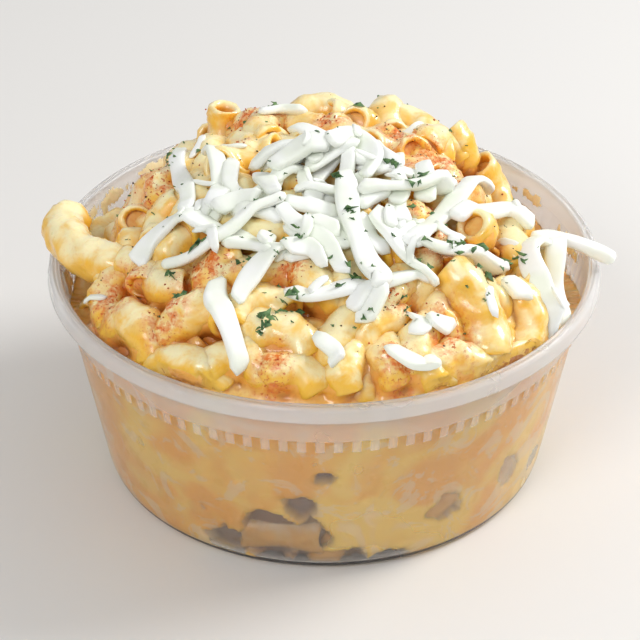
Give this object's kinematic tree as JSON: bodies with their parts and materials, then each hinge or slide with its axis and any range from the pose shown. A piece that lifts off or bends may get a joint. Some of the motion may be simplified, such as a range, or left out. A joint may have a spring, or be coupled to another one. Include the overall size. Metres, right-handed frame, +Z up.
{
  "type": "mac and cheese in a clear tub",
  "caption": "Round low clear tub heaped with elbow macaroni in cheese sauce, topped with shredded white cheese, parsley and paprika.",
  "frame": {"origin": "centre of the tub's flat base, on the surface it stands on", "axes": "+Z up along the tub's axis; -Y towards the side first seen; +X to that side's right"},
  "size_m": [0.1194, 0.117, 0.0747],
  "materials": {
    "clear_plastic": "thin milky translucent polypropylene, soft gloss",
    "sauced_pasta": "cream pasta under a soft, uneven gloss of golden cheese sauce",
    "white_cheese": "smooth waxy white shredded cheese"
  },
  "bodies": {
    "root": {"container": "clear_plastic", "macaroni_heap": "sauced_pasta", "rim_elbow": "sauced_pasta", "cheese_shreds": "white_cheese", "rim_shred": "white_cheese"}
  },
  "joints": []
}
